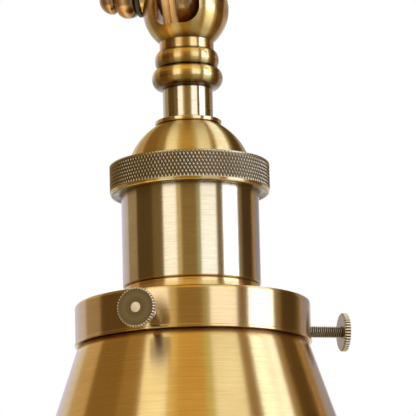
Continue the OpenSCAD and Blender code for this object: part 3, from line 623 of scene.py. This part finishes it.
def make_collar_and_tube():
    """The plain tube under the knuckle's stem, and the thin collar that it stands on."""
    top, bottom = span_of("stem_tube")
    outer = radius_of("stem_tube")
    tube = rounded([(BORE, top, 0.1), (outer, top, 0.15), (outer, bottom, 0.15), (BORE, bottom, 0.1)])
    finished(turned("stem_tube_sleeve", tube, HEAD, 128), OLIVE, "stem_tube")
    top, bottom = span_of("stem_collar")
    outer = radius_of("stem_collar")
    collar = rounded([(BORE, top, 0), (outer, top, 0.3), (outer, bottom, 0.3), (BORE, bottom, 0)], hold=0.05)
    finished(turned("cap_collar", collar, HEAD, 128), GOLD, "stem_collar")


KNURL_COUNT = 134
KNURL_ROWS = 3.8
KNURL_DEPTH = 0.36


def make_knurled_ring():
    """A ring whose band has crossed grooves: its radius drops where either of two slanted saw waves is low.

    With p = count * angle + rows * height and q = count * angle - rows * height, both in turns, each wave is
    a triangle of p or q, and the height of the diamonds is the lower of the two.
    """
    top, bottom = span_of("knurled_ring")
    outer = radius_of("knurled_ring")
    edge, lip, band_rows = 0.9, 0.3, 64
    cap_r, shell_r = 17.0, 18.5
    step = bottom - 3.0
    band_top, band_end = top + lip, bottom - edge
    band = np.stack([np.full(band_rows, outer), np.linspace(band_top, band_end, band_rows)], axis=1)
    rim = [(cap_r, top), (outer - 0.6, top), (outer - 0.25, top + 0.04), (outer - 0.08, top + 0.16)]
    edge_r = outer - edge
    path = np.concatenate([rim, band, [(outer - 0.05, band_end + 0.02)],
                           arc((edge_r, band_end), edge, 15, 90, 7),
                           [(edge_r - 0.3, bottom), (edge_r - 0.5, bottom - 0.1), (shell_r, bottom - 0.1),
                            (shell_r, step), (cap_r, step)]])

    def depth(angles, levels, radii):
        share = (levels - band_top) / (band_end - band_top)
        inside = (share > -1e-6) & (share < 1 + 1e-6) & (radii > outer - 0.01)
        p = KNURL_COUNT * angles / TAU + KNURL_ROWS * share
        q = KNURL_COUNT * angles / TAU - KNURL_ROWS * share
        height = np.minimum(1 - np.abs(2 * (p % 1) - 1), 1 - np.abs(2 * (q % 1) - 1))
        fade = np.clip(np.minimum(share, 1 - share) * 14, 0, 1)
        return np.where(inside, KNURL_DEPTH * (1 - np.clip(height * 1.3, 0, 1)) * fade, 0)

    def waves(angles, levels, radii):
        return radii - depth(angles, levels, radii)

    columns = KNURL_COUNT * 6
    ring = turned("knurled_ring_band", path, HEAD, columns, waves=waves)
    angles = np.arange(columns)[None, :] * TAU / columns
    # Crests stay bright and the knurl's grooves get painted shade
    mark_wear_and_groove_shade(ring, 1 - depth(angles, path[:, 1:], path[:, :1] + 0 * angles) / KNURL_DEPTH)
    for material in (KNURL, RING_EDGE, RING_UNDERSIDE_SHADE):
        ring.data.materials.append(material)
    rows = np.arange(len(ring.data.polygons)) // columns
    # Rows from the polished edge on get the edge's gold; rows under the ring, next to the shell, get painted
    # shade
    edge_row = len(rim) + band_rows - 1
    shaded_underside_row = edge_row + 6
    slots = (rows >= edge_row) * 1 + (rows >= shaded_underside_row)
    ring.data.polygons.foreach_set("material_index", slots.astype(int).tolist())
    return finished(ring, None, "knurled_ring")


def make_socket_shell():
    """A thin straight shell, drawn in to a spigot where the fitter sits."""
    top, bottom = span_of("socket_shell")
    outer = radius_of("socket_shell")
    shoulder = span_of("shade_fitter")[0] - 0.1
    wall = 0.8
    spigot = outer - 1
    path = rounded([(outer - wall, top, 0.1), (outer, top, 0.2), (outer, shoulder, 0.45),
                    (spigot, shoulder, 0.1), (spigot, bottom, 0.2), (spigot - 2, bottom, 0.1),
                    (spigot - 2, bottom - 0.8, 0.1),
                    (spigot - wall, bottom - 0.8, 0.1), (spigot - wall, shoulder - 1.2, 0.3),
                    (outer - wall, shoulder - 2.2, 0.3)])
    return finished(turned("socket_shell_sleeve", path, HEAD, 192), OLIVE, "socket_shell")


def make_shade_fitter():
    """A cup: cove up to the shell, flat top, rounded shoulder, straight side and a thin lip."""
    top, bottom = span_of("shade_fitter")
    lip_r = radius_of("shade_fitter")
    outer, wall, spigot, cove = lip_r - 0.4, 1.6, 17.45, 4.4
    flat = top + cove
    cove_points = [(spigot + 0.6 + cove * (1 - math.cos(a)), top + cove * math.sin(a))
                   for a in np.linspace(0, math.pi / 2, 14)]
    shoulder = arc((outer - 1, flat + 1), 1, -90, 0, 8)
    lip = rounded([(outer, flat + 2, 0), (outer, bottom - 0.75, 0.15), (outer + 0.16, bottom - 0.6, 0.1),
                   (outer + 0.16, bottom - 0.05, 0.15), (outer - 0.1, bottom, 0.1),
                   (outer - wall, bottom, 0)],
                  closed=False, hold=0.05)
    path = np.concatenate([[(spigot, top)], cove_points, [(outer - 1.4, flat)], shoulder, lip,
                           [(outer - wall, flat + 1.5), (spigot, flat + 1.5)]])
    return finished(turned("shade_fitter_cup", path, HEAD, 224), GOLD, "shade_fitter")


def shade_radius(drop):
    """Radius of the shade's outer face: it grows by 0.34 of the drop, and a little more further down."""
    return 30.7 + 0.34 * drop + 0.00006 * drop * drop


def make_shade():
    """A spun cone with a neck inside the fitter and a rolled rim; brass outside, white enamel inside."""
    top, bottom = span_of("shade")
    neck, wall = 28.4, 1.0
    start = span_of("shade_fitter")[1] + 0.4
    rim = 1.7
    end = bottom - rim
    drops = np.linspace(0, end - start, 60)
    outer = np.stack([shade_radius(drops), start + drops], axis=1)
    inner_levels = start + drops + 0.9 * (1 - drops / drops[-1])
    inner = np.stack([shade_radius(drops) - wall, inner_levels], axis=1)[::-1]
    neck_out = rounded([(neck - wall, top, 0), (neck + 0.8, top, 0.3), (neck + 0.8, top + 1.2, 0.3),
                        (neck, top + 1.6, 0.3), (neck, start - 0.35, 0.2), (outer[0, 0], start, 0)],
                       closed=False, hold=0.1)
    rim_centre = (shade_radius(end - start) - wall / 2, end)
    roll = arc(rim_centre, rim, -40, 220, 28)
    path = np.concatenate([neck_out[:-1], outer[:-1], roll, inner[1:], [(neck - wall, start + 0.7)]])
    columns = 256
    shade = turned("shade_cone", path, HEAD, columns)
    shade.data.materials.append(GOLD)
    shade.data.materials.append(ENAMEL)
    first_inner = len(neck_out) - 1 + len(outer) - 1 + len(roll) - 4
    rows = np.arange(len(shade.data.polygons)) // columns
    shade.data.polygons.foreach_set("material_index", (rows >= first_inner).astype(int).tolist())
    return finished(shade, None, "shade")


def screw_place(node):
    """A place on the head's axis whose levels run outwards along a thumb screw."""
    low, high = local_box(node, HEAD)
    middle = (low + high) / 2
    out = Vector((middle[0], middle[1], 0)).normalized()
    level = Vector((0, 0, middle[2] * MM))
    return knuckle_frame(head_pivot + level, [Vector((0, 0, 1)), -out.cross((0, 0, 1)), -out])


THREAD_PITCH = 0.55
HEAD_TEETH = 40


def make_thumb_screw(node):
    """A threaded pin whose crest winds out by one pitch a turn, and a serrated head with a bright pin end."""
    place = screw_place(node)
    tip, reach = 28.5, 42.15
    size = 1.56
    levels = np.arange(tip + 0.5, 40.4, THREAD_PITCH / 10)
    threaded = np.stack([np.full(len(levels), size), levels], axis=1)
    pin_path = np.concatenate([[(0.0, tip), (size - 0.45, tip)], threaded, [(0.0, 40.5)]])

    def crest_of(angles, along):
        phase = (along - tip) / THREAD_PITCH - angles / TAU
        return np.clip(1.5 * (1 - np.abs(2 * (phase % 1) - 1)) - 0.25, 0, 1)

    def wind(angles, along, radii):
        return np.where(radii > size - 0.01, radii - 0.34 * (1 - crest_of(angles, along)), radii)

    pin = turned(node + "_pin", pin_path, place, 36, closed=False, waves=wind)
    local = own_points(pin, place)
    # Thread crests worn bright, valleys painted dark as shade
    mark_wear_and_groove_shade(pin, crest_of(np.arctan2(local[:, 1], local[:, 0]), -local[:, 2]))
    finished(pin, SCREW_THREAD, node)
    rim = 5.15
    rings = [(r, 42.04, 0) for r in np.arange(rim - 0.75, 1.6, -0.22)]
    head_path = rounded([(0, 40.42, 0), (rim - 0.4, 40.42, 0.1), (rim, 40.75, 0.1), (rim, 41.85, 0.12),
                         (rim - 0.3, 42.05, 0.1)] + rings + [(0, 42.0, 0)], closed=False, hold=0.04, steps=3)

    def serrate(angles, along, radii):
        tooth = np.abs(2 * ((HEAD_TEETH * angles / TAU) % 1) - 1)
        share = np.clip((radii - rim + 0.45) / 0.4, 0, 1)
        return radii - 0.38 * share * (1 - np.clip(tooth * 1.4, 0, 1))

    columns = HEAD_TEETH * 8
    head = turned(node + "_head", head_path, place, columns, closed=False, waves=serrate)
    local = own_points(head, place)
    round_it = np.hypot(local[:, 0], local[:, 1])
    tooth = np.abs(2 * ((HEAD_TEETH * np.arctan2(local[:, 1], local[:, 0]) / TAU) % 1) - 1)
    # Serration crests worn bright, valleys painted dark as shade; the face keeps a middle tone with turning
    # rings
    mark_wear_and_groove_shade(head, np.where(round_it > rim - 0.45, 0.1 + 0.9 * tooth, 0.5 + 0.06 * np.sin(round_it * 31)))
    head.data.materials.append(SCREW_BRONZE)
    head.data.materials.append(SCREW_FACE)
    middle = np.zeros(len(head.data.polygons) * 3, np.float32)
    head.data.polygons.foreach_get("center", middle)
    local = put(place.inverted(), middle.reshape(-1, 3))
    face = (np.hypot(local[:, 0], local[:, 1]) < rim - 0.45) & (-local[:, 2] > 41.5)
    head.data.polygons.foreach_set("material_index", face.astype(int).tolist())
    finished(head, None, node)
    dot_path = rounded([(0, 41.5, 0), (1.4, 41.5, 0.05), (1.4, reach - 0.12, 0.12), (0, reach, 0)],
                       closed=False, hold=0.05)
    finished(turned(node + "_pin_end", dot_path, place, 48, closed=False), SCREW_END, node)


def make_knob(node, place, stud):
    """A wide bead and a rounded end bead, hollow for the stud, over a thin black washer.

    The end bead's radius is 4.1 cos a, and its level rises with a below zero and with sin a above it.
    """
    along = place @ Matrix.Rotation(math.pi / 2, 4, "Y")
    start, end = span_of(node, along)
    wide, bore = radius_of(node, along), radius_of(stud, along) + 0.1
    washer_start = span_of(node + "_washer", along)[0]
    foot, waist, bore_end = washer_start + 1.3, start + 4.55, span_of(stud, along)[1] + 0.3
    a = np.radians(np.arange(-35, 90, 5))
    rise = np.where(a < 0, a * 2 / math.pi, np.sin(a))
    tip = np.stack([4.1 * np.cos(a), waist + 5.25 * (0.32 + 0.68 * rise)], axis=1)
    path = np.concatenate([[(0, bore_end), (bore, bore_end), (bore, foot)],
                           bead((foot + waist) / 2, waist - foot, wide - 1.6, wide), tip, [(0, end)]])
    finished(turned(node + "_beads", path, along, 96, closed=False), OWN_MATERIAL[node], node)
    size = radius_of(node + "_washer", along)
    disc = rounded([(bore, washer_start, 0.1), (size, washer_start, 0.3), (size, foot - 0.05, 0.3),
                    (bore, foot - 0.05, 0.1)])
    finished(turned(node + "_washer_disc", disc, along, 96), BLACK, node + "_washer")


def make_tube(name, node, place):
    """A plain tube with its ends a little rounded."""
    top, bottom = span_of(node, place)
    outer = radius_of(node, place)
    path = rounded([(BORE, top, 0.1), (outer, top, 0.15), (outer, bottom, 0.15), (BORE, bottom, 0.1)])
    finished(turned(name, path, place, 96), ARM, node)


def make_canopy():
    """A spun canopy: rounded rim, flat, cove up to a raised middle, and a boss for the hub tube."""
    size = radius_of("canopy", CANOPY)
    wall, cove, rim, flat, boss = 1.6, 8.0, 9.0, 19.0, 14.0
    step, face, depth = size - 16, size - 24, flat + 5.0

    def outline(w):
        return np.concatenate([
            [(size - w, 0.0)], arc((size - 3, rim - 3), 3 - w, 0, 90, 8),
            arc((step, rim + cove), cove + w, -90, -180, 14), arc((face - 2, flat - 2), 2 - w, 0, 90, 6),
            [(boss - w, flat - w)], arc((boss - 2, depth - 2), 2 - w, 0, 90, 6), [(5.1, depth - w)]])

    path = np.concatenate([outline(0), outline(wall)[::-1]])
    finished(turned("canopy_spun", path, CANOPY, 224), ARM, "canopy")


def make_twin_cable():
    """Two strands side by side over the tongue's hub and down the stem, with the path's corners cut."""
    x, bend, strand_r = -3.35, 6.1, 1.09
    a = np.radians(np.linspace(170, 60, 16))
    over = np.stack([np.full(16, x), -bend * np.sin(a), -bend * np.cos(a)], axis=1)
    low = span_of("head_cable")[1]
    rest = [(x, -1.5, -10.5), (x * 0.56, -0.84, -14.1), (0, 0, -19.5), (0, 0, -24), (0, 0, 0.3 - low)]
    path = softened(np.concatenate([over, rest]))
    for side, name in ((-1, "cable_strand_left"), (1, "cable_strand_right")):
        strand = swept(name, path + np.array([side * strand_r, 0, 0]), HEAD, strand_r)
        finished(strand, CABLE, "head_cable")


for make in (make_socket_cap, make_collar_and_tube, make_knurled_ring, make_socket_shell, make_shade_fitter,
             make_shade, make_canopy, make_twin_cable):
    make()
for number in (1, 2, 3):
    make_thumb_screw(f"shade_screw_{number}")
for node, place in (("head_knob", HEAD), ("wall_knob", WALL), ("elbow_knob", ELBOW_OUT)):
    make_knob(node, place, node.replace("knob", "pivot_stud"))
make_tube("inner_arm_sleeve", "inner_arm_tube", WALL)
make_tube("outer_arm_sleeve", "outer_arm_tube", ELBOW_OUT)
make_tube("hub_tube_sleeve", "hub_tube", WALL)
make_tube("post_tube_sleeve", "post_tube", HEAD)


# Finish of the CAD nodes that stay

for name, node in frame["nodes"].items():
    node.data.materials.clear()
    node.data.materials.append(OWN_MATERIAL.get(name, MATERIAL_OF_SLOT[SLOT_OF_NODE[name]]))


# Studio: a pale floor, and light and dark panels that only reflections see

ball_centre = head_pivot + Vector((0, 0, -4.7 * MM))
CAMERA_AZIMUTH = 13.0
CAMERA_ELEVATION = -11.2
CAMERA_DISTANCE = 0.95
CAMERA_ROLL = 1.4
PIXEL = 0.267 * MM
PICTURE = 416


def direction(azimuth, elevation):
    """A unit vector; azimuth 0 looks at the lamp's front, from -Y, and grows to the right."""
    a, e = math.radians(azimuth), math.radians(elevation)
    return Vector((math.sin(a) * math.cos(e), -math.cos(a) * math.cos(e), math.sin(e)))


def make_camera():
    """A long lens below the lamp, aimed at the picture's centre."""
    back = direction(CAMERA_AZIMUTH, CAMERA_ELEVATION)
    right = direction(CAMERA_AZIMUTH + 90, 0)
    target = ball_centre + Vector((0, 0, -54.5 * MM)) + right * 4.72 * MM
    data = bpy.data.cameras.new("camera")
    data.sensor_width = 36.0
    data.lens = 36.0 * CAMERA_DISTANCE / PIXEL / PICTURE
    data.clip_start, data.clip_end = 0.05, 50.0
    camera = bpy.data.objects.new("camera", data)
    bpy.context.scene.collection.objects.link(camera)
    turn = back.to_track_quat("Z", "Y").to_matrix() @ Matrix.Rotation(math.radians(-CAMERA_ROLL), 3, "Z")
    camera.matrix_world = Matrix.Translation(target + back * CAMERA_DISTANCE) @ turn.to_4x4()
    bpy.context.scene.camera = camera


def make_world():
    """White behind the lamp for the camera, reflections and glass; a plain grey light otherwise."""
    world = bpy.data.worlds.new("studio")
    bpy.context.scene.world = world
    world.use_nodes = True
    nodes, links = world.node_tree.nodes, world.node_tree.links
    nodes.clear()
    path = nodes.new("ShaderNodeLightPath")
    white, grey = nodes.new("ShaderNodeBackground"), nodes.new("ShaderNodeBackground")
    white.inputs["Color"].default_value = (1, 1, 1, 1)
    grey.inputs["Color"].default_value = (0.9, 0.92, 1.0, 1)
    grey.inputs["Strength"].default_value = 0.9
    either, any_ray = nodes.new("ShaderNodeMath"), nodes.new("ShaderNodeMath")
    either.operation = any_ray.operation = "MAXIMUM"
    links.new(path.outputs["Is Camera Ray"], either.inputs[0])
    links.new(path.outputs["Is Glossy Ray"], either.inputs[1])
    links.new(either.outputs[0], any_ray.inputs[0])
    links.new(path.outputs["Is Transmission Ray"], any_ray.inputs[1])
    mix, output = nodes.new("ShaderNodeMixShader"), nodes.new("ShaderNodeOutputWorld")
    links.new(any_ray.outputs[0], mix.inputs["Fac"])
    links.new(grey.outputs[0], mix.inputs[1])
    links.new(white.outputs[0], mix.inputs[2])
    links.new(mix.outputs[0], output.inputs["Surface"])


PANEL_DISTANCE = 3.0
# Each panel is a column of the studio, given by the normals that reflect it to the camera: their first and
# last azimuth from the camera, the panel's colour at the lamp's level, and how strong it is under, low, high
# and on top, where it is also warmer. A colour over one is a lit softbox or window; the dark ones are flags
# and the room.
PANELS = [
    ("white_left", -86, -64, (0.8, 0.85, 1.25), (0.9, 0.85, 1.25, 1.1)),
    ("wall_left", -64, -50.5, (0.5, 0.43, 0.4), (0.9, 0.8, 1.8, 1.4)),
    ("flag_left", -50.5, -33, (0.1, 0.07, 0.045), (7.0, 2.8, 4.4, 3.2)),
    ("door_left", -33, -23, (0.22, 0.165, 0.11), (8.0, 2.4, 2.6, 1.6)),
    ("softbox_left", -23, -11.5, (2.1, 2.4, 3.7), (0.85, 0.42, 0.75, 0.58)),
    ("strip_left", -11.5, -7.5, (0.95, 0.86, 0.66), (1.6, 0.5, 1.2, 0.6)),
    ("room_centre", -7.5, 5, (0.33, 0.25, 0.15), (2.7, 1.3, 3.2, 1.5)),
    ("strip_centre", 5, 8.5, (0.56, 0.62, 0.5), (1.3, 0.7, 1.7, 1.0)),
    ("softbox_right", 8.5, 22, (2.1, 2.5, 4.2), (0.36, 0.36, 0.66, 0.54)),
    ("flag_between", 22, 28, (0.24, 0.18, 0.11), (3.6, 2.0, 1.8, 3.2)),
    ("window_right", 28, 42.5, (3.3, 4.3, 9.0), (0.36, 0.5, 0.6, 0.5)),
    ("edge_right", 42.5, 47.5, (0.3, 0.24, 0.16), (2.6, 1.8, 1.6, 1.8)),
    ("flag_right", 47.5, 64.5, (0.08, 0.054, 0.035), (5.0, 2.6, 1.5, 2.2)),
    ("wall_right", 64.5, 82, (0.34, 0.35, 0.56), (2.4, 2.2, 1.7, 1.6)),
]
WARM = (1.0, 0.97, 0.6)
PANEL_ROWS = {"under": (-84, -32), "low": (-32, -9), "level": (-9, 9.5), "high": (9.5, 31), "top": (31, 84)}


def emission(name, colour):
    """A material that only glows: its strength is the colour's highest share."""
    material = bpy.data.materials.new(name)
    material.use_nodes = True
    nodes = material.node_tree.nodes
    nodes.clear()
    glow, output = nodes.new("ShaderNodeEmission"), nodes.new("ShaderNodeOutputMaterial")
    strength = max(colour)
    glow.inputs["Color"].default_value = (*(share / strength for share in colour), 1)
    glow.inputs["Strength"].default_value = strength
    material.node_tree.links.new(glow.outputs[0], output.inputs["Surface"])
    return material


def make_panel(name, first, last, low, high, colour):
    """Part of a sphere about the lamp holder, seen by reflections only.

    Its points are the directions r = 2 (n . v) n - v, for normals n in a range of azimuth and elevation and
    the view v towards the camera. So its reflection on a turned piece follows that piece's meridians.
    """
    across, up = 13, 17
    a = np.radians(np.linspace(first, last, across) + CAMERA_AZIMUTH)[:, None]
    e = np.radians(np.linspace(low, high, up))[None, :]
    normal = np.stack([np.sin(a) * np.cos(e), -np.cos(a) * np.cos(e), np.sin(e) + 0 * a], axis=-1)
    view = np.array(direction(CAMERA_AZIMUTH, CAMERA_ELEVATION))
    facing = np.maximum(normal @ view, 0.03)[..., None]
    out = 2 * facing * normal - view
    out /= np.linalg.norm(out, axis=-1, keepdims=True)
    i, k = np.meshgrid(np.arange(across - 1), np.arange(up - 1), indexing="ij")
    corner = i * up + k
    quads = np.stack([corner, corner + 1, corner + up + 1, corner + up], axis=-1).reshape(-1, 4)
    points = out.reshape(-1, 3) * PANEL_DISTANCE + np.array(ball_centre) - [0, 0, 0.05]
    panel = mesh_object(name, points, quads)
    panel.data.materials.append(emission(name, colour))
    panel.visible_camera = panel.visible_diffuse = panel.visible_shadow = False
    panel.visible_transmission = panel.visible_volume_scatter = False


def make_floor():
    """A pale floor well under the lamp, which reflections don't see."""
    low, half = cad_box[0].z - 1.2, 14
    corners = [(-half, -half, low), (half, -half, low), (half, half, low), (-half, half, low)]
    floor = mesh_object("floor", corners, [(0, 1, 2, 3)])
    floor.visible_glossy = False
    pale = plain_finish("pale_floor", (0.9, 0.9, 0.9), (0.88, 0.88, 0.88), 0.8, scale=3.0)
    floor.data.materials.append(pale)


def make_lamp(name, azimuth, elevation, distance, size, power):
    """A square area lamp that faces the ball, placed by azimuth from the camera and elevation."""
    data = bpy.data.lights.new(name, "AREA")
    data.size, data.energy = size, power
    lamp = bpy.data.objects.new(name, data)
    bpy.context.scene.collection.objects.link(lamp)
    away = direction(azimuth + CAMERA_AZIMUTH, elevation)
    turn = away.to_track_quat("Z", "Y").to_matrix().to_4x4()
    lamp.matrix_world = Matrix.Translation(ball_centre + away * distance) @ turn
    lamp.visible_glossy = False


make_camera()
make_world()
make_floor()
for name, first, last, colour, (under, low, high, top) in PANELS:
    make_panel(name, first, last, *PANEL_ROWS["level"], colour)
    for row, strength in (("under", under), ("low", low), ("high", high), ("top", top)):
        warmer = [strength * share * tint for share, tint in zip(colour, WARM)]
        make_panel(f"{name}_{row}", first, last, *PANEL_ROWS[row], warmer)
make_lamp("key", -35, 45, 2.2, 1.2, 40)
make_lamp("fill", 60, 30, 2.2, 1.2, 30)
bpy.context.scene.view_settings.view_transform = "Standard"
